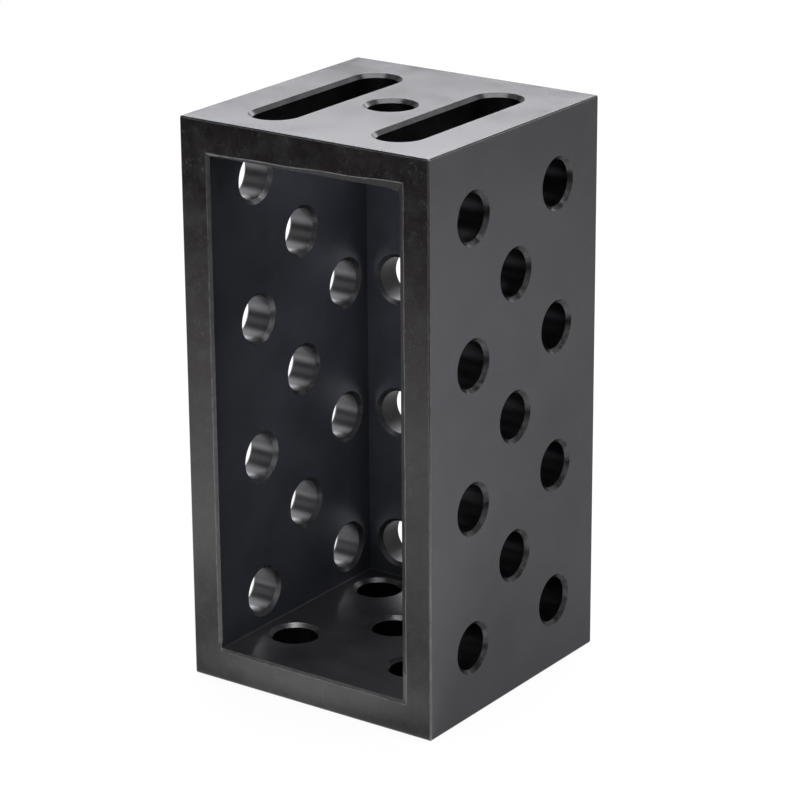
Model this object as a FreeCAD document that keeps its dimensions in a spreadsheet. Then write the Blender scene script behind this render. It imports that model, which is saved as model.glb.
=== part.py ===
import FreeCAD, Part
import math
import os
import Sketcher

# Riser block: a hollow, open-fronted block for raising and clamping work, made in one
# piece and then ground, drilled and slotted. Millimetres, +Z up. The origin is the
# middle of the base, the open mouth faces -Y and the back wall is at +Y.

SIZES = {
    "block_width": 100,
    "block_depth": 100,
    "block_height": 200,
    # thickness of the sides, the back, the floor and the top
    "wall": 12,
    # flat that breaks each outer edge
    "edge_break": 0.5,
    # radius where the inner faces meet
    "cavity_radius": 1,
    # bevel dressed round the mouth, wider across the front face than it is deep
    "bevel_width": 2,
    "bevel_depth": 1,
    "hole_diameter": 16,
    # 45 degree chamfer at both ends of each hole and round the top of each slot
    "rim_chamfer": 1.35,
    # distance between neighbouring holes in a row or a column
    "hole_pitch": 50,
    "slot_width": 16,
    # from the front face and the back face to the centres of a slot's round ends
    "slot_front_margin": 20,
    "slot_back_margin": 24,
}

NODE = "riser_block"

# Sketches are drawn at a rough size, and their dimensions then pull them to the real one.
ROUGH = 5
# Edges nearer than this to a face's place are taken to lie on it.
NEAR = 1e-6

HALF_DEPTH = "Sizes.block_depth / 2"
CAVITY_WIDTH = "(Sizes.block_width - 2 * Sizes.wall)"
CAVITY_HEIGHT = "(Sizes.block_height - 2 * Sizes.wall)"
MID_HEIGHT = "Sizes.block_height / 2"
RIM_DIAMETER = "(Sizes.hole_diameter + 2 * Sizes.rim_chamfer)"


def make_sheet(doc):
    """The driving dimensions, one named cell each."""
    sheet = doc.addObject("Spreadsheet::Sheet", "Sizes")
    for row, (name, value) in enumerate(SIZES.items(), start=1):
        sheet.set(f"A{row}", name)
        sheet.set(f"B{row}", str(value))
        sheet.setAlias(f"B{row}", name)
    doc.recompute()
    return sheet


def origin_part(body, role):
    """A plane or an axis of the body's own origin, found by its role."""
    return next(item for item in body.Origin.OriginFeatures if item.Role == role)


def new_sketch(body, name, plane, **places):
    """A sketch on an origin plane, moved along its own x, y and z by formulas."""
    sketch = body.newObject("Sketcher::SketchObject", name)
    sketch.AttachmentSupport = [(origin_part(body, plane), "")]
    sketch.MapMode = "FlatFace"
    for axis, formula in places.items():
        sketch.setExpression(f"AttachmentOffset.Base.{axis}", formula)
    return sketch


def dimension(sketch, name, formula, kind, *where):
    """A dimension of a sketch that is tied to the sheet."""
    index = sketch.addConstraint(Sketcher.Constraint(kind, *where, ROUGH))
    sketch.renameConstraint(index, name)
    sketch.setExpression(f"Constraints.{name}", formula)


def draw_rectangle(sketch, width, height):
    """A rectangle centred on the sketch's origin."""
    corners = [(-ROUGH, -ROUGH), (ROUGH, -ROUGH), (ROUGH, ROUGH), (-ROUGH, ROUGH)]
    points = [FreeCAD.Vector(x, y, 0) for x, y in corners]
    for side in range(4):
        sketch.addGeometry(Part.LineSegment(points[side], points[(side + 1) % 4]), False)
    for side in range(4):
        sketch.addConstraint(Sketcher.Constraint("Coincident", side, 2, (side + 1) % 4, 1))
        kind = "Vertical" if side % 2 else "Horizontal"
        sketch.addConstraint(Sketcher.Constraint(kind, side))
    sketch.addConstraint(Sketcher.Constraint("Symmetric", 0, 1, 2, 1, -1, 1))
    dimension(sketch, "width", width, "DistanceX", 0, 1, 0, 2)
    dimension(sketch, "height", height, "DistanceY", 1, 1, 1, 2)


def draw_circle(sketch, radius):
    """A circle centred on the sketch's origin."""
    circle = Part.Circle(FreeCAD.Vector(0, 0, 0), FreeCAD.Vector(0, 0, 1), ROUGH)
    sketch.addGeometry(circle, False)
    sketch.addConstraint(Sketcher.Constraint("Coincident", 0, 3, -1, 1))
    dimension(sketch, "radius", radius, "Radius", 0)


def draw_slot(sketch, width, reach_front, reach_back):
    """A round-ended slot on the sketch's Y axis, its end centres at the given reaches."""
    up = FreeCAD.Vector(0, 0, 1)
    back, front = (FreeCAD.Vector(0, side * 4 * ROUGH, 0) for side in (1, -1))
    half_width = FreeCAD.Vector(ROUGH, 0, 0)
    back_arc = Part.ArcOfCircle(Part.Circle(back, up, ROUGH), 0, math.pi)
    front_arc = Part.ArcOfCircle(Part.Circle(front, up, ROUGH), math.pi, 2 * math.pi)
    left = Part.LineSegment(back - half_width, front - half_width)
    right = Part.LineSegment(front + half_width, back + half_width)
    for edge in (back_arc, left, front_arc, right):
        sketch.addGeometry(edge, False)
    for edge in range(4):
        sketch.addConstraint(Sketcher.Constraint("Tangent", edge, 2, (edge + 1) % 4, 1))
    sketch.addConstraint(Sketcher.Constraint("Equal", 0, 2))
    sketch.addConstraint(Sketcher.Constraint("PointOnObject", 0, 3, -2))
    sketch.addConstraint(Sketcher.Constraint("PointOnObject", 2, 3, -2))
    dimension(sketch, "end_radius", f"{width} / 2", "Radius", 0)
    dimension(sketch, "back", reach_back, "DistanceY", -1, 1, 0, 3)
    dimension(sketch, "front", reach_front, "DistanceY", 2, 3, -1, 1)


def new_cut(body, name, sketch, length=None, reversed_cut=False, both_ways=False):
    """A pocket as deep as the formula says, or right through where none is given."""
    cut = body.newObject("PartDesign::Pocket", name)
    cut.Profile = sketch
    cut.Reversed = reversed_cut
    if both_ways:
        cut.SideType = "Symmetric"
    if length is None:
        cut.Type = "ThroughAll"
    else:
        cut.setExpression("Length", length)
    return cut


def repeat(body, name, cut, sketch, across, up):
    """Copies of a cut at the hole pitch, across and up its own sketch."""
    pattern = body.newObject("PartDesign::LinearPattern", name)
    pattern.Originals = [cut]
    pattern.Direction = (sketch, ["H_Axis"])
    pattern.Direction2 = (sketch, ["V_Axis"])
    for suffix, count in (("", across), ("2", up)):
        pattern.setExpression(f"Length{suffix}", f"Sizes.hole_pitch * max(1; {count} - 1)")
        pattern.setExpression(f"Occurrences{suffix}", count)
    body.Tip = pattern
    return pattern


def count_in(span):
    """How many holes stand at the pitch between two walls of the block, rims included."""
    return f"(floor(({span} - 2 * Sizes.wall - {RIM_DIAMETER}) / Sizes.hole_pitch) + 1)"


def start_of(count):
    """Where a centred row of holes begins, measured from its middle."""
    return f"(1 - {count}) * Sizes.hole_pitch / 2"


def drill_wall(body, name, plane, across_span, up_span, up_middle, **cut_options):
    """A grid of holes in one wall, with a second grid set half a pitch inside it."""
    across, up = count_in(across_span), count_in(up_span)
    for prefix, counts in (
        ("", (across, up)),
        ("inner_", (f"max(1; {across} - 1)", f"max(1; {up} - 1)")),
    ):
        places = {"x": start_of(counts[0]), "y": f"{up_middle} + {start_of(counts[1])}"}
        sketch = new_sketch(body, f"{prefix}{name}_sketch", plane, **places)
        draw_circle(sketch, "Sizes.hole_diameter / 2")
        cut = new_cut(body, f"{prefix}{name}", sketch, **cut_options)
        repeat(body, f"{prefix}{name}_grid", cut, sketch, *counts)


def edge_names(shape, wanted):
    """The names of a shape's edges that pass a test."""
    return [f"Edge{index}" for index, edge in enumerate(shape.Edges, start=1) if wanted(edge)]


def make_blank(body):
    """The outer block with all its edges broken."""
    sketch = new_sketch(body, "base_sketch", "XY_Plane")
    draw_rectangle(sketch, "Sizes.block_width", "Sizes.block_depth")
    block = body.newObject("PartDesign::Pad", "block")
    block.Profile = sketch
    block.setExpression("Length", "Sizes.block_height")
    body.Document.recompute()

    broken = body.newObject("PartDesign::Chamfer", "broken_edges")
    broken.Base = (block, edge_names(block.Shape, lambda edge: True))
    broken.setExpression("Size", "Sizes.edge_break")
    body.Document.recompute()


def make_cavity(body, sheet):
    """The hollow, its rounded inner corners and the bevel round its mouth."""
    front = {"y": MID_HEIGHT, "z": HALF_DEPTH}
    sketch = new_sketch(body, "cavity_sketch", "XZ_Plane", **front)
    draw_rectangle(sketch, CAVITY_WIDTH, CAVITY_HEIGHT)
    cavity = new_cut(body, "cavity", sketch, "Sizes.block_depth - Sizes.wall")
    body.Document.recompute()

    half_width = sheet.block_width / 2 - sheet.wall
    low, high = sheet.wall, sheet.block_height - sheet.wall
    back = sheet.block_depth / 2 - sheet.wall

    def is_inner_corner(edge):
        """An edge of the hollow that isn't on its mouth."""
        middle = edge.CenterOfMass
        on_side = abs(abs(middle.x) - half_width) < NEAR
        on_end = min(abs(middle.z - low), abs(middle.z - high)) < NEAR
        on_back = abs(middle.y - back) < NEAR
        return on_side + on_end + on_back == 2

    rounded = body.newObject("PartDesign::Fillet", "cavity_corners")
    rounded.Base = (cavity, edge_names(cavity.Shape, is_inner_corner))
    rounded.setExpression("Radius", "Sizes.cavity_radius")
    body.Document.recompute()

    # The bevel's faces run on inwards at one slope until they meet the rounded corners,
    # so its outline on the front face keeps square corners.
    outer = new_sketch(body, "bevel_mouth_sketch", "XZ_Plane", **front)
    spread = "2 * Sizes.bevel_width"
    draw_rectangle(outer, f"{CAVITY_WIDTH} + {spread}", f"{CAVITY_HEIGHT} + {spread}")
    places = {"y": MID_HEIGHT, "z": f"{HALF_DEPTH} - 2 * Sizes.bevel_depth"}
    inner = new_sketch(body, "bevel_throat_sketch", "XZ_Plane", **places)
    draw_rectangle(inner, f"{CAVITY_WIDTH} - {spread}", f"{CAVITY_HEIGHT} - {spread}")
    bevel = body.newObject("PartDesign::SubtractiveLoft", "mouth_bevel")
    bevel.Profile = outer
    bevel.Sections = [inner]
    bevel.Ruled = True
    body.Document.recompute()


def make_holes(body):
    """The staggered hole grids of the sides, the back and the floor, and the top's one hole."""
    width, depth, height = "Sizes.block_width", "Sizes.block_depth", "Sizes.block_height"
    drill_wall(body, "side_holes", "YZ_Plane", depth, height, MID_HEIGHT, both_ways=True)
    drill_wall(body, "back_holes", "XZ_Plane", width, height, MID_HEIGHT)
    drill_wall(
        body, "floor_holes", "XY_Plane", width, depth, "0", length="Sizes.wall", reversed_cut=True
    )
    sketch = new_sketch(body, "top_hole_sketch", "XY_Plane", z=height)
    draw_circle(sketch, "Sizes.hole_diameter / 2")
    new_cut(body, "top_hole", sketch, "Sizes.wall")


def make_slots(body):
    """The clamping slots through the top, in line with the outer columns of floor holes."""
    across = count_in("Sizes.block_width")
    places = {"x": start_of(across), "z": "Sizes.block_height"}
    sketch = new_sketch(body, "slot_sketch", "XY_Plane", **places)
    reach_front = f"{HALF_DEPTH} - Sizes.slot_front_margin"
    reach_back = f"{HALF_DEPTH} - Sizes.slot_back_margin"
    draw_slot(sketch, "Sizes.slot_width", reach_front, reach_back)
    # deep enough to clear the rounded corners under the top
    slot = new_cut(body, "slot", sketch, "Sizes.wall + Sizes.cavity_radius")
    return repeat(body, "slots", slot, sketch, across, "1")


def chamfer_rims(body, drilled, sheet):
    """The chamfers at both ends of every hole and round the top of the slots."""
    radius = sheet.hole_diameter / 2
    half_width = sheet.block_width / 2 - sheet.edge_break
    half_depth = sheet.block_depth / 2 - sheet.edge_break

    def is_rim(edge):
        """A whole circle of a hole's radius, or an edge of a slot on the top face."""
        if edge.Degenerated:
            return False
        if isinstance(edge.Curve, Part.Circle) and edge.isClosed():
            return abs(edge.Curve.Radius - radius) < NEAR
        box = edge.BoundBox
        on_top = abs(box.ZMin - sheet.block_height) < NEAR
        inside_x = max(-box.XMin, box.XMax) < half_width - NEAR
        inside_y = max(-box.YMin, box.YMax) < half_depth - NEAR
        return on_top and inside_x and inside_y

    rims = body.newObject("PartDesign::Chamfer", "rim_chamfers")
    rims.Base = (drilled, edge_names(drilled.Shape, is_rim))
    rims.setExpression("Size", "Sizes.rim_chamfer")


def check(doc, body):
    """Stops the script where a feature failed or the solid is unsound."""
    for item in doc.Objects:
        if "Invalid" in item.State or "Error" in item.State:
            raise RuntimeError(f"{item.Name} failed: {item.getStatusString()}")
    shape = body.Shape
    if shape.isNull() or not shape.isValid() or len(shape.Solids) != 1:
        raise RuntimeError(f"{body.Label} is not one valid solid")


doc = FreeCAD.newDocument("RiserBlock")
sheet = make_sheet(doc)
body = doc.addObject("PartDesign::Body", NODE)
body.Label = NODE
make_blank(body)
make_cavity(body, sheet)
make_holes(body)
drilled = make_slots(body)
doc.recompute()
chamfer_rims(body, drilled, sheet)
doc.recompute()
check(doc, body)

os.makedirs("parts", exist_ok=True)
body.Shape.exportStep(f"parts/{NODE}.step")
print(NODE, "volume", round(body.Shape.Volume), "mm3, faces", len(body.Shape.Faces))
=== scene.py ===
import math

import bpy
from mathutils import Matrix, Vector


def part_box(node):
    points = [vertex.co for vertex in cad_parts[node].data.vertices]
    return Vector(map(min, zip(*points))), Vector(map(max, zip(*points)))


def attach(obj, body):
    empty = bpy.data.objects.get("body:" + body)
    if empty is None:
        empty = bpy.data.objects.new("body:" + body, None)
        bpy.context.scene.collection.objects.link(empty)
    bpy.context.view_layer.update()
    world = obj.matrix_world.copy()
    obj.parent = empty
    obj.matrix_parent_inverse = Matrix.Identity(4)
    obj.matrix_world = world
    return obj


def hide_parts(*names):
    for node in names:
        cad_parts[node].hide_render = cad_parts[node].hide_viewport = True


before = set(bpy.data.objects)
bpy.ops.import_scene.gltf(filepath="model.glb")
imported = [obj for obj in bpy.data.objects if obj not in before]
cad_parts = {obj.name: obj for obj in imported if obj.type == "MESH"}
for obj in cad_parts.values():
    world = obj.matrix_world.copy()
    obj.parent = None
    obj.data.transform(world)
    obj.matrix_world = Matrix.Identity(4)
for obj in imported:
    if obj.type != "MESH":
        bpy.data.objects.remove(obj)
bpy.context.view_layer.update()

# The blank: one block of cast iron, ground flat and square on its six outer faces, then
# blackened all over. A small flat is filed along every outer edge, where the black soon
# wears to grey.
MM = 0.001
EDGE_BREAK = 0.5 * MM
WALL = 12 * MM
# how near a point counts as lying on a face
TOUCH = 0.01 * MM
block_low, block_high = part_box("riser_block")
width, depth, height = block_high - block_low
middle = (block_low + block_high) / 2


def put(tree, kind, *links, **settings):
    """A node with its settings. links are (input, what feeds it), a socket or a plain value."""
    made = tree.nodes.new(kind)
    for name, value in settings.items():
        setattr(made, name, value)
    for socket, source in links:
        if isinstance(source, bpy.types.NodeSocket):
            tree.links.new(source, made.inputs[socket])
        else:
            made.inputs[socket].default_value = source
    return made


def sums(tree, operation, *values, clamp=False):
    """A Math node's result."""
    return put(tree, "ShaderNodeMath", *enumerate(values), operation=operation, use_clamp=clamp).outputs[0]


def spread(tree, value, low, high, to_low=0.0, to_high=1.0, smooth=False):
    """A value that is stretched from one span to another."""
    kind = "SMOOTHSTEP" if smooth else "LINEAR"
    ends = ((0, value), (1, low), (2, high), (3, to_low), (4, to_high))
    return put(tree, "ShaderNodeMapRange", *ends, interpolation_type=kind).outputs[0]


def speckle(tree, point, scale, detail=4.0, roughness=0.55):
    """Noise of a given fineness, in cycles to the metre."""
    values = (("Vector", point), ("Scale", scale), ("Detail", detail), ("Roughness", roughness))
    return put(tree, "ShaderNodeTexNoise", *values).outputs["Fac"]


def new_group(name, numbers, masks):
    """An empty shader group with number inputs, each (name, value), and number outputs."""
    tree = bpy.data.node_groups.new(name, "ShaderNodeTree")
    for label, value in numbers:
        socket = tree.interface.new_socket(label, in_out="INPUT", socket_type="NodeSocketFloat")
        socket.default_value = value
    for label in masks:
        tree.interface.new_socket(label, in_out="OUTPUT", socket_type="NodeSocketFloat")
    inputs = tree.nodes.new("NodeGroupInput").outputs
    outputs = tree.nodes.new("NodeGroupOutput").inputs
    point = tree.nodes.new("ShaderNodeTexCoord").outputs["Object"]
    return tree, inputs, outputs, point


def make_black_skin():
    """The oxide's own look: cloudy patches, a fine grain, and rub marks from handling."""
    masks = ("Cloud", "Grain", "Rub")
    tree, inputs, outputs, point = new_group("black_skin", (("Patch size", 20 * MM),), masks)
    per_metre = sums(tree, "DIVIDE", 1.0, inputs["Patch size"])
    cloud = speckle(tree, point, per_metre, 5.0, 0.6)
    tree.links.new(spread(tree, cloud, 0.3, 0.7), outputs["Cloud"])
    grain = speckle(tree, point, 2600.0, 2.0)
    tree.links.new(spread(tree, grain, 0.3, 0.7), outputs["Grain"])
    rub = speckle(tree, point, sums(tree, "MULTIPLY", per_metre, 4.5), 8.0, 0.75)
    tree.links.new(spread(tree, rub, 0.54, 0.7), outputs["Rub"])
    return tree


def make_scratches():
    """Hair-thin scratches in two crossing directions, each a stretched noise cut to a thin line."""
    steep = ((0.5, 0.7, 0.3), (900, 900, 22))
    level = ((2.1, 0.2, 1.2), (1300, 18, 1300))
    tree, inputs, outputs, point = new_group("scratches", (("Amount", 0.5),), ("Scratch",))
    found = None
    for turn, stretch in (steep, level):
        turned = put(tree, "ShaderNodeMapping", ("Vector", point), ("Rotation", turn), ("Scale", stretch))
        line = speckle(tree, turned.outputs[0], 1.0, 0.0)
        thin = spread(tree, sums(tree, "ABSOLUTE", sums(tree, "SUBTRACT", line, 0.62)), 0.012, 0.0)
        found = thin if found is None else sums(tree, "MAXIMUM", found, thin)
    where = spread(tree, speckle(tree, point, 70.0, 2.0), 0.5, 0.62)
    shown = sums(tree, "MULTIPLY", sums(tree, "MULTIPLY", found, where), inputs["Amount"])
    tree.links.new(shown, outputs["Scratch"])
    return tree


def make_scuffs():
    """Small curved flecks and dark purplish stains, most of them high up, from knocks and handling."""
    tree, inputs, outputs, point = new_group("scuffs", (("Amount", 0.5),), ("Scuff", "Stain"))
    warp = put(tree, "ShaderNodeTexNoise", ("Vector", point), ("Scale", 260.0), ("Detail", 2.0))
    bent = put(tree, "ShaderNodeVectorMath", (0, warp.outputs["Color"]), (3, 0.004), operation="SCALE")
    moved = put(tree, "ShaderNodeVectorMath", (0, point), (1, bent.outputs[0]), operation="ADD").outputs[0]
    fleck = speckle(tree, moved, 620.0, 3.0, 0.6)
    sharp = spread(tree, fleck, 0.585, 0.66)
    patch = spread(tree, speckle(tree, point, 95.0, 4.0, 0.6), 0.42, 0.66)
    height_up = put(tree, "ShaderNodeSeparateXYZ", ("Vector", point)).outputs[2]
    higher = spread(tree, height_up, 0.4 * height, 0.95 * height, 0.12, 1.0)
    flecks = sums(tree, "MULTIPLY", sums(tree, "MULTIPLY", sharp, patch), higher)
    tree.links.new(sums(tree, "MULTIPLY", flecks, inputs["Amount"]), outputs["Scuff"])
    stain = spread(tree, speckle(tree, moved, 120.0, 5.0, 0.65), 0.36, 0.55)
    tree.links.new(sums(tree, "MULTIPLY", stain, higher), outputs["Stain"])
    return tree


def make_dust():
    """Pale specks of dust, a few to the square centimetre, no two the same size."""
    tree, inputs, outputs, point = new_group("dust", (("Amount", 0.5),), ("Speck",))
    cells = put(tree, "ShaderNodeTexVoronoi", ("Vector", point), ("Scale", 160.0))
    size = put(tree, "ShaderNodeSeparateColor", (0, cells.outputs["Color"]))
    radius = spread(tree, size.outputs[0], 0.9, 1.0, 0.0, 0.045)
    speck = sums(tree, "LESS_THAN", cells.outputs["Distance"], radius)
    tree.links.new(sums(tree, "MULTIPLY", speck, inputs["Amount"]), outputs["Speck"])
    return tree


def make_edge_wear():
    """Where the black has worn off along the twelve outer edges, in a broken line."""
    tree, inputs, outputs, point = new_group("edge_wear", (("Reach", 0.7 * MM),), ("Wear",))
    across = put(tree, "ShaderNodeSeparateXYZ", ("Vector", point))
    gaps = []
    for axis, half in enumerate((width / 2, depth / 2, height / 2)):
        from_middle = sums(tree, "SUBTRACT", across.outputs[axis], middle[axis])
        gaps.append(sums(tree, "SUBTRACT", half, sums(tree, "ABSOLUTE", from_middle)))
    # the second smallest distance to a face's plane is the distance to the nearest edge
    near = sums(tree, "MINIMUM", gaps[0], gaps[1])
    far = sums(tree, "MAXIMUM", gaps[0], gaps[1])
    from_edge = sums(tree, "MAXIMUM", near, sums(tree, "MINIMUM", far, gaps[2]))
    waver = spread(tree, speckle(tree, point, 420.0, 6.0, 0.7), 0.4, 0.75)
    ragged = sums(tree, "MULTIPLY", inputs["Reach"], waver)
    reached = sums(tree, "MAXIMUM", ragged, TOUCH)
    worn = spread(tree, sums(tree, "DIVIDE", from_edge, reached), 1.0, 0.4)
    tree.links.new(worn, outputs["Wear"])
    return tree


BLACK_SKIN = make_black_skin()
SCRATCHES = make_scratches()
SCUFFS = make_scuffs()
DUST = make_dust()
EDGE_WEAR = make_edge_wear()
WORN_GREY = (0.21, 0.21, 0.215, 1)
DUST_GREY = (0.32, 0.31, 0.3, 1)
STAIN_PURPLE = (0.044, 0.032, 0.038, 1)
ROUGH_SPAN = 0.05
GRAIN_ROUGHNESS = 0.05
GRAIN_HEIGHT = 0.001 * MM
STAIN_STRENGTH = 0.8
CORNER_SHADE = 14 * MM


def blend(tree, share, under, over):
    """One colour laid over another."""
    mixed = put(tree, "ShaderNodeMix", ("Factor", share), data_type="RGBA")
    for socket, colour in ((6, under), (7, over)):
        if isinstance(colour, bpy.types.NodeSocket):
            tree.links.new(colour, mixed.inputs[socket])
        else:
            mixed.inputs[socket].default_value = colour
    return mixed.outputs[2]


def blackened(name, dark, light, roughness, metallic=0.8, metallic_span=0.0, patch=20 * MM, rubbed=0.0,
              scratched=0.0, scuffed=0.0, dusty=0.0, worn=0.0, painted_depth_light=None):
    """A blackened finish between two tones, with as much rubbing, scratching, dust and wear as it has."""
    finish = bpy.data.materials.new(name)
    finish.use_nodes = True
    tree = finish.node_tree
    skin = put(tree, "ShaderNodeGroup", node_tree=BLACK_SKIN)
    skin.inputs["Patch size"].default_value = patch
    marks = [sums(tree, "MULTIPLY", skin.outputs["Rub"], rubbed)]
    for group, label, amount in ((SCRATCHES, "Scratch", scratched), (SCUFFS, "Scuff", scuffed)):
        if amount:
            marked = put(tree, "ShaderNodeGroup", node_tree=group)
            marked.inputs["Amount"].default_value = amount
            marks.append(marked.outputs[label])
    tone = blend(tree, skin.outputs["Cloud"], (*dark, 1), (*light, 1))
    if scuffed:
        stained = sums(tree, "MULTIPLY", marked.outputs["Stain"], STAIN_STRENGTH)
        tone = blend(tree, stained, tone, STAIN_PURPLE)
    if painted_depth_light:
        # painted light and shade: the tone grows paler from the mouth of the hollow inwards, and is painted
        # dark again in its back corners
        coordinates = tree.nodes.new("ShaderNodeTexCoord").outputs
        place = put(tree, "ShaderNodeSeparateXYZ", (0, coordinates["Object"]))
        deep = spread(tree, place.outputs[1], block_low.y, block_high.y)
        scale = spread(tree, sums(tree, "POWER", deep, 0.7, clamp=True), 0.0, 1.0, *painted_depth_light)
        back_wall = block_high.y - WALL
        painted_corner_shade = spread(tree, place.outputs[1], back_wall - CORNER_SHADE, back_wall, 1.0, 0.5)
        scale = sums(tree, "MULTIPLY", scale, painted_corner_shade)
        tone = put(tree, "ShaderNodeVectorMath", (0, tone), (3, scale), operation="SCALE").outputs[0]
    if worn:
        wear = put(tree, "ShaderNodeGroup", node_tree=EDGE_WEAR)
        marks.append(sums(tree, "MULTIPLY", wear.outputs["Wear"], worn))
    bare = marks[0]
    for mark in marks[1:]:
        bare = sums(tree, "ADD", bare, mark, clamp=True)
    colour = blend(tree, bare, tone, WORN_GREY)
    if dusty:
        dust = put(tree, "ShaderNodeGroup", node_tree=DUST)
        dust.inputs["Amount"].default_value = dusty
        colour = blend(tree, dust.outputs["Speck"], colour, DUST_GREY)
    cloudy = spread(tree, skin.outputs["Cloud"], 0.0, 1.0, roughness - ROUGH_SPAN, roughness + ROUGH_SPAN)
    grainy = sums(tree, "MULTIPLY", skin.outputs["Grain"], GRAIN_ROUGHNESS)
    rough = sums(tree, "ADD", cloudy, grainy, clamp=True)
    raised = sums(tree, "SUBTRACT", skin.outputs["Grain"], sums(tree, "MULTIPLY", bare, 0.6))
    bump = put(tree, "ShaderNodeBump", ("Height", raised), ("Distance", GRAIN_HEIGHT))
    shader = tree.nodes["Principled BSDF"]
    for socket, source in (("Base Color", colour), ("Roughness", rough), ("Normal", bump.outputs[0])):
        tree.links.new(source, shader.inputs[socket])
    shader.inputs["Metallic"].default_value = metallic
    if metallic_span:
        # paler patches and flecks are duller, so they still show where the block mirrors the dark
        brighter, duller = metallic + metallic_span, metallic - metallic_span
        sheen = spread(tree, skin.outputs["Cloud"], 0.0, 1.0, brighter, duller)
        sheen = sums(tree, "SUBTRACT", sheen, sums(tree, "MULTIPLY", bare, 0.5), clamp=True)
        tree.links.new(sheen, shader.inputs["Metallic"])
    return finish


def only(piece):
    """Selects one object and makes it the active one."""
    bpy.ops.object.select_all(action="DESELECT")
    piece.select_set(True)
    bpy.context.view_layer.objects.active = piece


def cube(name, low, high, finish):
    """A cube primitive at its place and size, with its finish."""
    low, high = Vector(low), Vector(high)
    bpy.ops.object.select_all(action="DESELECT")
    bpy.ops.mesh.primitive_cube_add(size=1, location=(low + high) / 2, scale=high - low)
    made = bpy.context.active_object
    made.name = name
    bpy.ops.object.transform_apply(location=True, rotation=True, scale=True)
    made.data.materials.append(finish)
    return made


ground_black = blackened(
    "ground_black", (0.062, 0.060, 0.069), (0.076, 0.074, 0.083), 0.18, rubbed=0.06, scratched=0.12,
    dusty=0.35, worn=0.4,
)
front_black = blackened(
    "front_black", (0.062, 0.061, 0.061), (0.084, 0.084, 0.083), 0.27, metallic=0.78, metallic_span=0.12,
    patch=11 * MM, rubbed=0.12, scratched=0.12, scuffed=0.6, dusty=0.3, worn=0.6,
)
edge_grey = blackened(
    "edge_grey", (0.16, 0.16, 0.163), (0.30, 0.30, 0.305), 0.3, patch=8 * MM, rubbed=0.2, worn=0.5,
)
block = cube("finished_block", block_low, block_high, ground_black)
block.data.materials.append(front_black)
block.data.materials.append(edge_grey)
bpy.ops.object.mode_set(mode="EDIT")
bpy.ops.mesh.select_all(action="SELECT")
bpy.ops.mesh.bevel(offset=EDGE_BREAK, segments=1, affect="EDGES")
bpy.ops.object.mode_set(mode="OBJECT")
for face in block.data.polygons:
    on_upright_edge = abs(face.normal.x) > 0.6 and abs(face.normal.y) > 0.6
    face.material_index = 2 if on_upright_edge else int(face.normal.y < -0.99)
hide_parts("riser_block")
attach(block, "root")

# The hollow: milled out from the front, leaving 12 mm walls, with sharp upright corners and a
# small radius along its floor and top. The top right corner was never cleared right out to the
# mouth, so a thin wedge is left there.
HOLLOW_RADIUS = 0.5 * MM
RADIUS_FACETS = 4
PAST = 10 * MM
WEDGE_END = -44 * MM
NEAR_TOP = 1.5 * MM
# across the block from its middle, and how far the wedge hangs down there at the mouth
WEDGE = ((31 * MM, 0), (34 * MM, 0.35 * MM), (36 * MM, 0.9 * MM), (38 * MM, 1.7 * MM))


def cut_away(tool):
    """Takes a tool's shape out of the block, leaves the tool's finish on the cut, and removes the tool."""
    only(block)
    cut = block.modifiers.new("cut", "BOOLEAN")
    cut.operation = "DIFFERENCE"
    cut.solver = "EXACT"
    cut.material_mode = "TRANSFER"
    cut.object = tool
    bpy.ops.object.modifier_apply(modifier=cut.name)
    bpy.data.objects.remove(tool)


def select_edges(piece, wanted):
    """Selects a mesh's edges whose two ends pass a test, for use in edit mode."""
    mesh = piece.data
    for face in mesh.polygons:
        face.select = False
    for edge in mesh.edges:
        edge.select = wanted(*(mesh.vertices[index].co for index in edge.vertices))
    chosen = {index for edge in mesh.edges if edge.select for index in edge.vertices}
    for vertex in mesh.vertices:
        vertex.select = vertex.index in chosen
    bpy.context.tool_settings.mesh_select_mode = (False, True, False)


def wedge_drop(across):
    """How far the wedge hangs down at a place across the mouth."""
    for (near, drop), (far, next_drop) in zip(WEDGE, WEDGE[1:]):
        if near <= across <= far + TOUCH:
            return drop + (next_drop - drop) * (across - near) / (far - near)
    return 0


hollow_black = blackened(
    "hollow_black", (0.084, 0.090, 0.112), (0.132, 0.140, 0.172), 0.36, metallic=0.35, patch=30 * MM,
    dusty=0.2, painted_depth_light=(0.4, 2.0),
)
hollow_floor_black = blackened(
    "hollow_floor_black", (0.058, 0.054, 0.062), (0.120, 0.110, 0.123), 0.34, metallic=0.45, patch=22 * MM,
    dusty=0.3, painted_depth_light=(0.6, 1.6),
)
# painted light: the hollow's back wall takes a paler copy of the hollow's finish
hollow_back_painted_light = blackened(
    "hollow_back_painted_light", (0.110, 0.116, 0.144), (0.200, 0.212, 0.260), 0.36, metallic=0.35, patch=30 * MM,
)
hollow_low = Vector((block_low.x + WALL, block_low.y - PAST, block_low.z + WALL))
hollow_high = block_high - Vector((WALL, WALL, WALL))
hollow = cube("hollow_tool", hollow_low, hollow_high, hollow_black)
hollow.data.materials.append(hollow_floor_black)
hollow.data.materials.append(hollow_back_painted_light)
select_edges(hollow, lambda a, b: max(a.y, b.y) > block_low.y and abs(a.z - b.z) < WALL)
bpy.ops.object.mode_set(mode="EDIT")
bpy.ops.mesh.select_mode(type="EDGE")
bpy.ops.mesh.bevel(offset=HOLLOW_RADIUS, segments=RADIUS_FACETS, affect="EDGES")
bpy.ops.mesh.select_all(action="SELECT")
bpy.ops.mesh.bisect(plane_co=(0, WEDGE_END, 0), plane_no=(0, 1, 0))
for across, drop in WEDGE[:-1]:
    bpy.ops.mesh.select_all(action="SELECT")
    bpy.ops.mesh.bisect(plane_co=(middle.x + across, 0, 0), plane_no=(1, 0, 0))
bpy.ops.object.mode_set(mode="OBJECT")
wedge_share = (WEDGE_END - hollow_low.y) / (WEDGE_END - block_low.y)
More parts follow.
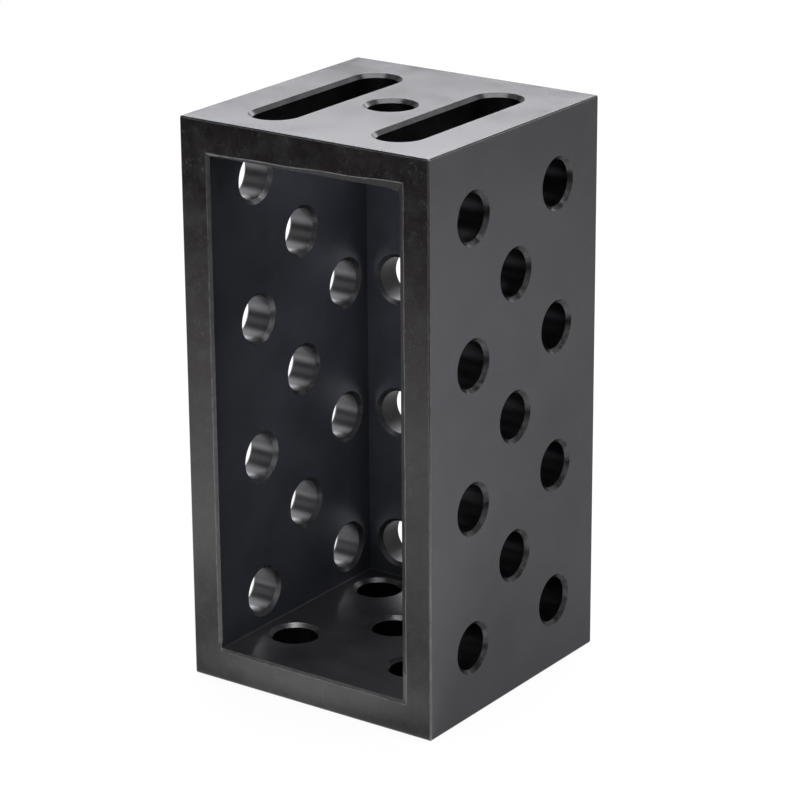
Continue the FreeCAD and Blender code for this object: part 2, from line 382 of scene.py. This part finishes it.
for vertex in hollow.data.vertices:
    place = vertex.co
    if place.y < block_low.y and place.z > hollow_high.z - NEAR_TOP:
        place.z -= wedge_drop(place.x - middle.x) * wedge_share
for face in hollow.data.polygons:
    face.material_index = int(face.center.z < hollow_low.z + TOUCH)
    if face.center.y > hollow_high.y - TOUCH:
        face.material_index = 2
cut_away(hollow)

# The mouth: its edge is dressed back by hand with a file, so the bevel is about 2 mm across
# the front and 1 mm deep at the sides, and runs from thin to wide along the top. Its outer
# line is paler, partly worn bright and partly a painted highlight.
BEVEL_WIDTH = 2 * MM
BEVEL_DEPTH = 1 * MM
WAVER = 0.10 * MM
OUTLINE_CUTS = 47
TOP_LEFT_WIDTH, TOP_RIGHT_WIDTH = 0.8 * MM, 2.9 * MM
LEFT_WIDTH, BOTTOM_WIDTH = 1.2 * MM, 1.0 * MM
CORNER_CUT = 1.5 * MM
LINE_WIDTH = 0.22 * MM
filed_black = blackened(
    "filed_black", (0.030, 0.030, 0.031), (0.056, 0.055, 0.057), 0.36, metallic=0.75, patch=5 * MM,
    rubbed=0.4,
)
# the paler line of worn edges, which round the mouth also stands for the highlight along the outline, a
# painted highlight
worn_and_highlight_line = blackened(
    "worn_and_highlight_line", (0.10, 0.10, 0.103), (0.26, 0.26, 0.265), 0.36, metallic=0.7, patch=3 * MM, rubbed=0.5,
)
# painted light: a paler copy of the filed finish for the left and bottom of the bevel, for the light they
# catch
bevel_painted_light = blackened(
    "bevel_painted_light", (0.11, 0.11, 0.113), (0.17, 0.17, 0.174), 0.36, metallic=0.6, patch=4 * MM, rubbed=0.4,
)
slope = BEVEL_WIDTH / BEVEL_DEPTH
start, end = block_low.y - 0.5 * BEVEL_DEPTH, block_low.y + 2 * BEVEL_DEPTH
mouth_half = Vector((width / 2 - WALL, 0, height / 2 - WALL))
outer = mouth_half + Vector((1, 0, 1)) * (BEVEL_WIDTH + slope * (block_low.y - start))
inner = mouth_half + Vector((1, 0, 1)) * (BEVEL_WIDTH - slope * (end - block_low.y))
bpy.ops.object.select_all(action="DESELECT")
bpy.ops.mesh.primitive_plane_add(size=2, location=(middle.x, start, middle.z), rotation=(math.pi / 2, 0, 0))
mouth = bpy.context.active_object
mouth.scale = (outer.x, outer.z, 1)
bpy.ops.object.transform_apply(location=True, rotation=True, scale=True)
mouth.data.materials.append(filed_black)
mouth.data.materials.append(bevel_painted_light)
bpy.ops.object.mode_set(mode="EDIT")
bpy.ops.mesh.select_mode(type="EDGE")
bpy.ops.mesh.select_all(action="SELECT")
bpy.ops.mesh.subdivide(number_cuts=OUTLINE_CUTS)
bpy.ops.mesh.dissolve_faces()
bpy.ops.object.mode_set(mode="OBJECT")
for vertex in mouth.data.vertices:
    place = vertex.co
    from_x, from_z = (place.x - middle.x) / outer.x, (place.z - middle.z) / outer.z
    wave = math.sin(9.0 * from_x + 3.1) * math.sin(17.0 * from_z)
    wave += 0.6 * math.sin(31.0 * from_z + 11.0 * from_x)
    on_side, on_top, on_bottom = abs(from_x) > 0.999, from_z > 0.999, from_z < -0.999
    if on_side:
        place.x += WAVER * wave * math.copysign(1, from_x)
    if on_side and from_x < 0:
        place.x += BEVEL_WIDTH - LEFT_WIDTH
    if on_top:
        top_width = TOP_LEFT_WIDTH + (TOP_RIGHT_WIDTH - TOP_LEFT_WIDTH) * (0.5 + 0.5 * from_x) ** 1.6
        place.z += WAVER * wave + top_width - BEVEL_WIDTH
    if on_bottom:
        place.z += WAVER * wave + BEVEL_WIDTH - BOTTOM_WIDTH
    if on_bottom and on_side and from_x < 0:
        place.x += CORNER_CUT
        place.z += CORNER_CUT
only(mouth)
bpy.ops.object.mode_set(mode="EDIT")
bpy.ops.mesh.select_mode(type="FACE")
bpy.ops.mesh.select_all(action="SELECT")
bpy.ops.mesh.extrude_region_move(TRANSFORM_OT_translate={"value": (0, end - start, 0)})
bpy.ops.transform.resize(value=(inner.x / outer.x, 1, inner.z / outer.z))
bpy.ops.mesh.select_all(action="SELECT")
bpy.ops.mesh.normals_make_consistent(inside=False)
bpy.ops.object.mode_set(mode="OBJECT")
# painted light: the left and bottom of the bevel take the paler finish
for face in mouth.data.polygons:
    on_left = face.center.x < middle.x - 0.9 * mouth_half.x
    on_bottom = face.center.z < middle.z - 0.9 * mouth_half.z
    face.material_index = int(on_left or on_bottom)
cut_away(mouth)


def wear_and_highlight_edges(wanted, across):
    """Rounds chosen edges of the block a little and gives the rounding the paler finish of worn edges,
    which round the mouth is also a painted highlight.
    """
    only(block)
    if worn_and_highlight_line.name not in block.data.materials:
        block.data.materials.append(worn_and_highlight_line)
    select_edges(block, wanted)
    bpy.ops.object.mode_set(mode="EDIT")
    bpy.ops.mesh.select_mode(type="EDGE")
    bpy.ops.mesh.bevel(
        offset=across, segments=2, affect="EDGES", material=block.data.materials.find(worn_and_highlight_line.name)
    )
    bpy.ops.object.mode_set(mode="OBJECT")


def on_mouth_outline(a, b):
    """Whether both ends of an edge lie on the front face, round the mouth."""
    return all(
        abs(end.y - block_low.y) < TOUCH
        and abs(end.x - middle.x) < width / 2 - 0.5 * WALL
        and abs(end.z - middle.z) < height / 2 - 0.5 * WALL
        for end in (a, b)
    )


wear_and_highlight_edges(on_mouth_outline, LINE_WIDTH)

# The holes: drilled and reamed 16 mm through every wall on a staggered 50 mm grid, and
# countersunk at both ends. The reamer leaves the bores smooth. Their tone differs by wall as
# painted light and shade: the right side's bores and outer rims are painted near black, and
# the left side's bores paler and shinier.
HOLE_RADIUS = 8 * MM
RIM = 1.35 * MM
PITCH = 50 * MM
HOLE_SIDES = 72
OVERRUN = 1.5 * MM
# painted light: the paler bore finish, used in the left side's bores
bored_light_painted = blackened(
    "bored_light_painted", (0.15, 0.15, 0.158), (0.20, 0.20, 0.210), 0.32, metallic=0.85, patch=6 * MM, rubbed=0.1,
)
# painted shade: the near-black finish of the right side's bores, the top hole and the slots
shade_painted_black = blackened(
    "shade_painted_black", (0.010, 0.009, 0.011), (0.020, 0.018, 0.021), 0.38, metallic=0.85, patch=6 * MM,
)
dull_black = blackened(
    "dull_black", (0.026, 0.025, 0.027), (0.044, 0.042, 0.045), 0.32, patch=6 * MM,
)
outer_rim_black = blackened(
    "outer_rim_black", (0.062, 0.062, 0.066), (0.078, 0.078, 0.083), 0.22, patch=6 * MM, rubbed=0.15,
)
# painted shade: the darker outer rims of the right side's holes
rim_shade_painted_black = blackened(
    "rim_shade_painted_black", (0.030, 0.030, 0.032), (0.090, 0.090, 0.094), 0.24, patch=2.5 * MM, rubbed=0.3,
)
inner_rim_black = blackened(
    "inner_rim_black", (0.18, 0.18, 0.187), (0.26, 0.26, 0.268), 0.27, metallic=0.75, patch=6 * MM,
    rubbed=0.1,
)


def through(near, far):
    """A drill's stations, each (how far along, radius), through a wall between two faces."""
    wide = HOLE_RADIUS + RIM + OVERRUN
    bored = [(near + RIM, HOLE_RADIUS), (far - RIM, HOLE_RADIUS)]
    return [(near - OVERRUN, wide), *bored, (far + OVERRUN, wide)]


def drill(stations, turn, places, bore=bored_light_painted, outer_rim=outer_rim_black):
    """A countersinking drill through its stations, copied to each place, and taken out of the block."""
    (first, wide), *rest = stations
    bpy.ops.object.select_all(action="DESELECT")
    bpy.ops.mesh.primitive_circle_add(
        vertices=HOLE_SIDES, radius=wide, fill_type="NGON", location=(0, 0, first)
    )
    bit = bpy.context.active_object
    bpy.ops.object.transform_apply(location=True)
    bpy.ops.object.mode_set(mode="EDIT")
    bpy.ops.mesh.select_mode(type="FACE")
    bpy.ops.mesh.select_all(action="SELECT")
    at, radius = first, wide
    for along, next_radius in rest:
        bpy.ops.mesh.extrude_region_move(TRANSFORM_OT_translate={"value": (0, 0, along - at)})
        bpy.ops.transform.resize(value=(next_radius / radius, next_radius / radius, 1))
        at, radius = along, next_radius
    bpy.ops.mesh.select_all(action="SELECT")
    bpy.ops.mesh.normals_make_consistent(inside=False)
    bpy.ops.object.mode_set(mode="OBJECT")
    for finish in (bore, outer_rim, inner_rim_black):
        bit.data.materials.append(finish)
    bits = []
    for place in places:
        copied = bit.copy()
        copied.data = bit.data.copy()
        copied.matrix_world = Matrix.Translation(place) @ turn
        bpy.context.collection.objects.link(copied)
        bits.append(copied)
    bpy.data.objects.remove(bit)
    only(bits[0])
    for copied in bits:
        copied.select_set(True)
    if len(bits) > 1:
        bpy.ops.object.join()
    bpy.ops.object.transform_apply(location=True, rotation=True, scale=True)
    along_bit = turn.to_3x3() @ Vector((0, 0, 1))
    half_way = Vector((width, depth, height)) / 2 - Vector((WALL, WALL, WALL)) / 2
    for face in bits[0].data.polygons:
        if abs(face.normal.dot(along_bit)) < 0.1:
            continue
        # a rim is an outer one where it lies past the middle of its wall
        offset = face.center - middle
        outside = any(abs(offset[axis]) > half_way[axis] for axis in range(3))
        face.material_index = 1 if outside else 2
    cut_away(bits[0])


def staggered(columns, rows):
    """The grid of holes in a wall, measured from its middle, with a second grid half a pitch inside it."""
    for across, up in ((columns, rows), (columns - 1, rows - 1)):
        for column in range(across):
            for row in range(up):
                yield (column - (across - 1) / 2) * PITCH, (row - (up - 1) / 2) * PITCH


TO_X = Matrix.Rotation(math.pi / 2, 4, "Y")
TO_Y = Matrix.Rotation(-math.pi / 2, 4, "X")
side_places = [(0, middle.y + y, middle.z + z) for y, z in staggered(2, 4)]
# painted light: the left side's bores take the paler bore finish
drill(through(block_low.x, block_low.x + WALL), TO_X, side_places)
# painted shade: the right side's bores and outer rims take the near-black finishes
drill(through(block_high.x - WALL, block_high.x), TO_X, side_places, shade_painted_black, rim_shade_painted_black)
back_places = [(middle.x + x, 0, middle.z + z) for x, z in staggered(2, 4)]
drill(through(block_high.y - WALL, block_high.y), TO_Y, back_places, dull_black)
floor_places = [(middle.x + x, middle.y + y, 0) for x, y in staggered(2, 2)]
drill(through(block_low.z, block_low.z + WALL), Matrix.Identity(4), floor_places, dull_black)
drill(through(block_high.z - WALL, block_high.z), Matrix.Identity(4), [(middle.x, middle.y, 0)], shade_painted_black)

# The slots: two milled from front to back through the top, over the outer columns of floor
# holes, with round ends and the same countersink round the top.
SLOT_FRONT, SLOT_BACK = -30 * MM, 26 * MM
END_FACETS = 18
for side in (-1, 1):
    wide = 2 * (HOLE_RADIUS + RIM + OVERRUN)
    length = SLOT_BACK - SLOT_FRONT + wide
    slot_middle = (middle.x + side * PITCH / 2, (SLOT_FRONT + SLOT_BACK) / 2, block_high.z + 2 * OVERRUN)
    bpy.ops.object.select_all(action="DESELECT")
    bpy.ops.mesh.primitive_plane_add(size=1, location=slot_middle)
    cutter = bpy.context.active_object
    cutter.scale = (wide, length, 1)
    bpy.ops.object.transform_apply(location=True, rotation=True, scale=True)
    bpy.ops.object.mode_set(mode="EDIT")
    bpy.ops.mesh.select_mode(type="VERT")
    bpy.ops.mesh.select_all(action="SELECT")
    bpy.ops.mesh.bevel(offset=wide / 2, segments=END_FACETS, affect="VERTICES")
    bpy.ops.mesh.select_all(action="SELECT")
    bpy.ops.mesh.remove_doubles(threshold=TOUCH)
    bpy.ops.mesh.select_mode(type="FACE")
    bpy.ops.mesh.select_all(action="SELECT")
    bpy.ops.mesh.extrude_region_move(TRANSFORM_OT_translate={"value": (0, 0, -OVERRUN)})
    bpy.ops.mesh.inset(thickness=RIM + OVERRUN, depth=0)
    bpy.ops.transform.translate(value=(0, 0, -RIM - OVERRUN))
    bpy.ops.mesh.extrude_region_move(TRANSFORM_OT_translate={"value": (0, 0, -WALL - RIM)})
    bpy.ops.mesh.select_all(action="SELECT")
    bpy.ops.mesh.normals_make_consistent(inside=False)
    bpy.ops.object.mode_set(mode="OBJECT")
    cutter.data.materials.append(shade_painted_black)
    cutter.data.materials.append(outer_rim_black)
    for face in cutter.data.polygons:
        face.material_index = int(abs(face.normal.z) > 0.1)
    cut_away(cutter)

# The finish of the edges: after blackening, every corner left by the cutters is still faintly
# rounded, which is what catches the light along it. The block's own edges have worn grey.
ROUNDING = 0.1 * MM
OUTER_WEAR = 0.13 * MM
SHARP = math.radians(24)


def on_outer_edge(a, b):
    """Whether an edge runs along one of the flats that break the block's twelve outer edges."""
    faces = []
    for end in (a, b):
        gaps = sorted(
            half - abs(end[axis] - middle[axis])
            for axis, half in enumerate((width / 2, depth / 2, height / 2))
        )
        faces.append(abs(gaps[0]) < TOUCH and abs(gaps[1] - EDGE_BREAK) < 2 * TOUCH)
    return all(faces)


def in_upright_corner(a, b):
    """Whether an edge runs up one of the two back corners of the hollow, which stay sharp."""
    across = all(abs(abs(end.x - middle.x) - mouth_half.x) < 10 * TOUCH for end in (a, b))
    return across and all(abs(end.y - hollow_high.y) < 10 * TOUCH for end in (a, b))


only(block)
bpy.ops.object.mode_set(mode="EDIT")
bpy.ops.mesh.select_all(action="SELECT")
bpy.ops.mesh.remove_doubles(threshold=0.5 * TOUCH)
bpy.ops.object.mode_set(mode="OBJECT")
wear_and_highlight_edges(on_outer_edge, OUTER_WEAR)
bpy.ops.object.shade_smooth()
bpy.ops.object.mode_set(mode="EDIT")
bpy.ops.mesh.select_mode(type="EDGE")
bpy.ops.mesh.select_all(action="DESELECT")
bpy.ops.mesh.edges_select_sharp(sharpness=SHARP)
bpy.ops.transform.edge_bevelweight(value=1)
bpy.ops.object.mode_set(mode="OBJECT")
select_edges(block, in_upright_corner)
bpy.ops.object.mode_set(mode="EDIT")
bpy.ops.transform.edge_bevelweight(value=-1)
bpy.ops.mesh.mark_sharp()
bpy.ops.object.mode_set(mode="OBJECT")
rounding = block.modifiers.new("rounding", "BEVEL")
rounding.width = ROUNDING
rounding.segments = 2
rounding.limit_method = "WEIGHT"
bpy.ops.object.modifier_apply(modifier=rounding.name)
# the large faces stay flat in their shading, and only the roundings turn the light
flatness = block.modifiers.new("flatness", "WEIGHTED_NORMAL")
flatness.mode = "FACE_AREA"
flatness.weight = 100
flatness.keep_sharp = True
bpy.ops.object.modifier_apply(modifier=flatness.name)

# The camera: a long lens from above the front right corner, as the photograph was taken.
LENS = 145.32
SENSOR = 36
EYE = Vector((606.4, -850.3, 463.9)) * MM
AZIMUTH, ELEVATION, ROLL = (math.radians(angle) for angle in (35.368, 19.402, -0.403))
back = Vector((
    math.sin(AZIMUTH) * math.cos(ELEVATION), -math.cos(AZIMUTH) * math.cos(ELEVATION), math.sin(ELEVATION),
))
right = Vector((math.cos(AZIMUTH), math.sin(AZIMUTH), 0))
up = back.cross(right)
rolled_right = right * math.cos(ROLL) + up * math.sin(ROLL)
rolled_up = up * math.cos(ROLL) - right * math.sin(ROLL)
camera = bpy.data.objects.new("camera", bpy.data.cameras.new("camera"))
bpy.context.collection.objects.link(camera)
camera.data.lens = LENS
camera.data.sensor_width = SENSOR
facing = Matrix((rolled_right, rolled_up, back)).transposed()
camera.matrix_world = Matrix.Translation(EYE) @ facing.to_4x4()
bpy.context.scene.camera = camera
bpy.context.scene.view_settings.view_transform = "Standard"

# The table: a sheet of white board that ends a little in front of the block, with its front
# right corner cut off. To the camera it is pure white where nothing shades it.
TABLE_LOW, TABLE_HIGH = Vector((-0.75, -0.43, 0)), Vector((1.3, 1.7, 0))
CUT_FROM, CUT_TO = Vector((-0.05, -0.43, 0)), Vector((1.3, 0.68, 0))
PURE_WHITE = 1.08
bpy.ops.object.select_all(action="DESELECT")
bpy.ops.mesh.primitive_plane_add(size=1, location=(TABLE_LOW + TABLE_HIGH) / 2)
table_top = bpy.context.active_object
table_top.name = "table_top"
table_top.scale = TABLE_HIGH - TABLE_LOW + Vector((0, 0, 1))
bpy.ops.object.transform_apply(location=True, rotation=True, scale=True)
outward = (CUT_TO - CUT_FROM).cross(Vector((0, 0, 1)))
bpy.ops.object.mode_set(mode="EDIT")
bpy.ops.mesh.select_all(action="SELECT")
bpy.ops.mesh.bisect(plane_co=CUT_FROM, plane_no=outward, clear_outer=True)
bpy.ops.object.mode_set(mode="OBJECT")
white = bpy.data.materials.new("white_table")
white.use_nodes = True
tree = white.node_tree
ray = tree.nodes.new("ShaderNodeLightPath").outputs
paint = tree.nodes["Principled BSDF"]
paint.inputs["Base Color"].default_value = (0.75, 0.75, 0.75, 1)
paint.inputs["Roughness"].default_value = 0.9
# the block's shadow shows on the board near it and fades out further off
place = tree.nodes.new("ShaderNodeTexCoord").outputs["Object"]
from_block = put(tree, "ShaderNodeVectorMath", (0, place), operation="LENGTH").outputs["Value"]
seen = sums(tree, "MULTIPLY", ray["Is Camera Ray"], spread(tree, from_block, 0.12, 0.35, 0.85, 1.0))
# painted light: what the metal mirrors is a glow set by place, not lamplight, so beside the block the board
# is brighter than in front of it or behind it
corner = put(tree, "ShaderNodeSeparateXYZ", (0, place))
past_front = sums(tree, "SUBTRACT", corner.outputs[1], block_low.y)
past_side = sums(tree, "SUBTRACT", corner.outputs[0], block_high.x)
turned = sums(tree, "ARCTAN2", past_front, past_side)
in_front = spread(tree, from_block, 0.10, 0.28, 0.50, 1.05)
beside = spread(tree, from_block, 0.06, 0.14, 0.78, 1.0)
beside = sums(tree, "MULTIPLY", beside, spread(tree, from_block, 0.55, 0.80, 1.0, 0.7))
beside = sums(tree, "MULTIPLY", beside, spread(tree, turned, math.radians(50), math.radians(66), 1.25, 0.7))
lit = spread(tree, past_front, -0.003, 0.0, in_front, beside)
# two pools of light in front, each with its middle, how far it reaches each way, and its strength
POOLS = (((-0.012, -0.070, 0), (0.064, 0.023, 1), 0.95), ((-0.138, -0.164, 0), (0.08, 0.08, 1), 0.75))
for pool, reach, strength in POOLS:
    near = put(tree, "ShaderNodeVectorMath", (0, place), (1, pool), operation="SUBTRACT").outputs[0]
    near = put(tree, "ShaderNodeVectorMath", (0, near), (1, reach), operation="DIVIDE").outputs[0]
    near = put(tree, "ShaderNodeVectorMath", (0, near), operation="LENGTH").outputs["Value"]
    lit = sums(tree, "ADD", lit, spread(tree, near, 1.0, 0.3, 0.0, strength, True))
# painted shade: under the block the mirrored glow is dark
lit = sums(tree, "MULTIPLY", lit, spread(tree, from_block, 0.040, 0.052))
share = sums(tree, "MAXIMUM", seen, ray["Is Glossy Ray"])
strength = spread(tree, ray["Is Camera Ray"], 0.0, 1.0, lit, PURE_WHITE)
glow = put(tree, "ShaderNodeEmission", ("Strength", strength))
shown = put(tree, "ShaderNodeMixShader", (0, share), (1, paint.outputs[0]), (2, glow.outputs[0]))
tree.links.new(shown.outputs[0], tree.nodes["Material Output"].inputs["Surface"])
table_top.data.materials.append(white)

# The studio: white all round to the camera. To everything else it is dark in front, with a
# pale wall behind and a few soft patches of light.
world = bpy.data.worlds.new("studio")
bpy.context.scene.world = world
world.use_nodes = True
tree = world.node_tree
way = tree.nodes.new("ShaderNodeTexCoord").outputs["Generated"]
DIM = 0.08
level = DIM
# where each patch lies, how wide it is from its middle to its edge in degrees, and how bright
PATCHES = (
    ((-0.55, 0.80, 0.05), 62, 0.35),
    ((0.57, 0.82, 0.00), 30, 0.65),
    ((0.31, 0.78, 0.54), 24, 0.55),
    ((-0.54, -0.72, 0.43), 20, 0.4),
    ((-0.56, 0.15, 0.82), 22, 1.5),
    ((0.83, -0.38, 0.40), 30, 0.5),
)
for toward, reach, bright in PATCHES:
    facing = put(
        tree, "ShaderNodeVectorMath", (0, way), (1, Vector(toward).normalized()), operation="DOT_PRODUCT"
    ).outputs["Value"]
    rim, core = math.cos(math.radians(reach)), math.cos(math.radians(reach / 3))
    patch = spread(tree, facing, rim, core, 0, bright, True)
    level = sums(tree, "ADD", level, patch)
ray = tree.nodes.new("ShaderNodeLightPath").outputs["Is Camera Ray"]
shown = put(tree, "ShaderNodeMix", (0, ray), (2, level), (3, 1.0)).outputs[0]
tree.links.new(shown, tree.nodes["Background"].inputs["Strength"])
tree.nodes["Background"].inputs["Color"].default_value = (1, 1, 1, 1)


def softbox(name, place, aim, size, radiance, colour=(1, 1, 1)):
    """A soft lamp that faces a point, as bright as its radiance says."""
    lamp = bpy.data.lights.new(name, "AREA")
    lamp.shape = "RECTANGLE"
    lamp.size, lamp.size_y = size
    lamp.energy = radiance * math.pi * size[0] * size[1]
    lamp.color = colour
    held = bpy.data.objects.new(name, lamp)
    bpy.context.collection.objects.link(held)
    held.location = place
    held.rotation_euler = (Vector(aim) - Vector(place)).to_track_quat("-Z", "Y").to_euler()
    held.visible_camera = False


away = Vector((-math.sin(AZIMUTH), math.cos(AZIMUTH), 0))
sideways = Vector((away.y, -away.x, 0))
backdrop_place = away * 1.60 + sideways * 0.50 + Vector((0, 0, 1.09))
softbox("backdrop_lamp", backdrop_place, backdrop_place - away, (2.0, 0.86), 3.7, (0.96, 0.97, 1.0))
softbox("overhead_lamp", (0.27, -0.04, 1.15), (0.27, -0.04, 0), (1.25, 0.92), 3.3)
